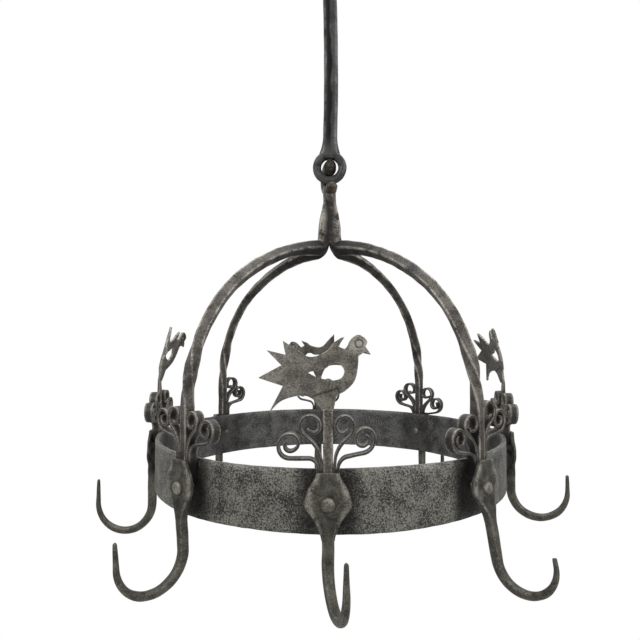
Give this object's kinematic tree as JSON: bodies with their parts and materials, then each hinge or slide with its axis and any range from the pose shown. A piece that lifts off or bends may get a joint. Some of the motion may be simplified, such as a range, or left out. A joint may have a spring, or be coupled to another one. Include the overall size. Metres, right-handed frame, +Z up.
{
  "type": "hanging kitchen crown rack",
  "caption": "Wrought-iron hanging crown: a round band with riveted J-hooks, ribbon scrolls and sheet-iron birds on arched arms below an eyed rod, to hang game, herbs or pans.",
  "frame": {"origin": "centre of the bore of the hanging eye at the top of the rod", "axes": "+Z up along the rod, +Y along the hanging eye's bore and away from the viewer, +X to the viewer's right"},
  "size_m": [0.5143, 0.5056, 0.6458],
  "materials": {
    "rod_iron": "forged, dark waxed",
    "arm_iron": "forged, worn ridges, light rust",
    "band_iron": "hammered, pitted",
    "hook_iron": "forged, worn",
    "scroll_iron": "strip iron, worn edges",
    "bird_sheet_iron": "sheet iron, chiselled",
    "rivet_iron": "hammered head"
  },
  "bodies": {
    "rod": {"suspension_rod": "rod_iron"},
    "loop": {"neck_loop": "arm_iron"},
    "crown": {"arm_front_right": "arm_iron", "arm_rear_right": "arm_iron", "arm_rear_left": "arm_iron", "arm_front_left": "arm_iron", "bird_front": "bird_sheet_iron", "bird_right": "bird_sheet_iron", "bird_rear": "bird_sheet_iron", "bird_left": "bird_sheet_iron", "hook_front": "hook_iron", "hook_front_right": "hook_iron", "hook_right": "hook_iron", "hook_rear_right": "hook_iron", "hook_rear": "hook_iron", "hook_rear_left": "hook_iron", "hook_left": "hook_iron", "hook_front_left": "hook_iron", "scroll_inner_front_a": "scroll_iron", "scroll_outer_front_a": "scroll_iron", "scroll_inner_front_b": "scroll_iron", "scroll_outer_front_b": "scroll_iron", "scroll_inner_front_right_a": "scroll_iron", "scroll_outer_front_right_a": "scroll_iron", "scroll_inner_front_right_b": "scroll_iron", "scroll_outer_front_right_b": "scroll_iron", "scroll_inner_right_a": "scroll_iron", "scroll_outer_right_a": "scroll_iron", "scroll_inner_right_b": "scroll_iron", "scroll_outer_right_b": "scroll_iron", "scroll_inner_rear_right_a": "scroll_iron", "scroll_outer_rear_right_a": "scroll_iron", "scroll_inner_rear_right_b": "scroll_iron", "scroll_outer_rear_right_b": "scroll_iron", "scroll_inner_rear_a": "scroll_iron", "scroll_outer_rear_a": "scroll_iron", "scroll_inner_rear_b": "scroll_iron", "scroll_outer_rear_b": "scroll_iron", "scroll_inner_rear_left_b": "scroll_iron", "scroll_outer_rear_left_b": "scroll_iron", "scroll_inner_left_a": "scroll_iron", "scroll_outer_left_a": "scroll_iron", "scroll_inner_left_b": "scroll_iron", "scroll_outer_left_b": "scroll_iron", "scroll_inner_front_left_a": "scroll_iron", "scroll_outer_front_left_a": "scroll_iron", "scroll_inner_front_left_b": "scroll_iron", "scroll_outer_front_left_b": "scroll_iron", "neck": "arm_iron", "band": "band_iron", "plate_rivets": "rivet_iron"}
  },
  "joints": [
    {"name": "side_swing", "type": "hinge", "parent": "rod", "child": "loop", "pos_m": [0, 0, -0.22], "axis": [0, 1, 0], "range_deg": [-60, 60]},
    {"name": "fore_swing", "type": "hinge", "parent": "loop", "child": "crown", "pos_m": [0, 0, -0.2357], "axis": [0.9659, 0.2588, 0], "range_deg": [-45, 45]}
  ]
}
